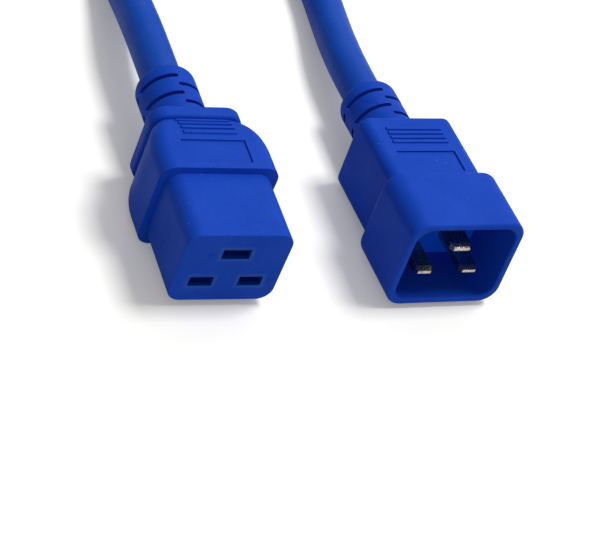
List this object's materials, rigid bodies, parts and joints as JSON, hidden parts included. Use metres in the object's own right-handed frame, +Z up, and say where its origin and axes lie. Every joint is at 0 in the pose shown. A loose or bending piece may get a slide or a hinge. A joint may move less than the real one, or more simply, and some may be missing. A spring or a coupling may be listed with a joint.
{
  "type": "power cord set",
  "caption": "Blue moulded power cord set: a waisted C19 connector with flat contact slots, a thick round cord, and a shrouded C20 plug with flat pins.",
  "frame": {"origin": "on the surface the set lies on, under the middle of the C19 connector", "axes": "+Y from the connector's nose to its cord, +Z up from the surface with the earth slot uppermost, +X to the side where the plug lies"},
  "size_m": [0.1436, 0.2804, 0.0284],
  "materials": {
    "blue_overmould": "moulded blue PVC, semi-matt",
    "blue_carrier": "moulded blue nylon, semi-matt",
    "blue_jacket": "extruded blue PVC, semi-matt",
    "contact_brass": "folded strip",
    "copper_wire": "stranded copper",
    "core_black": "PVC insulation",
    "core_white": "PVC insulation",
    "core_green": "PVC insulation",
    "pin_nickel": "nickel-plated, lightly brushed",
    "strap_fabric": "black hook-and-loop strap"
  },
  "bodies": {
    "root": {"connector_overmould": "blue_overmould", "contact_carrier": "blue_carrier", "line_contact": "contact_brass", "neutral_contact": "contact_brass", "earth_contact": "contact_brass", "connector_line_core": "core_black", "connector_line_wire": "copper_wire", "connector_neutral_core": "core_white", "connector_neutral_wire": "copper_wire", "connector_earth_core": "core_green", "connector_earth_wire": "copper_wire", "connector_jacket_end": "blue_jacket", "plug_line_core": "core_black", "plug_line_wire": "copper_wire", "plug_neutral_core": "core_white", "plug_neutral_wire": "copper_wire", "plug_earth_core": "core_green", "plug_earth_wire": "copper_wire", "plug_jacket_end": "blue_jacket", "plug_overmould": "blue_overmould", "pin_carrier": "blue_carrier", "line_pin": "pin_nickel", "neutral_pin": "pin_nickel", "earth_pin": "pin_nickel", "cord_from_connector": "blue_jacket", "cord_to_plug": "blue_jacket", "cord_coil": "blue_jacket", "coil_strap": "strap_fabric"}
  },
  "joints": []
}
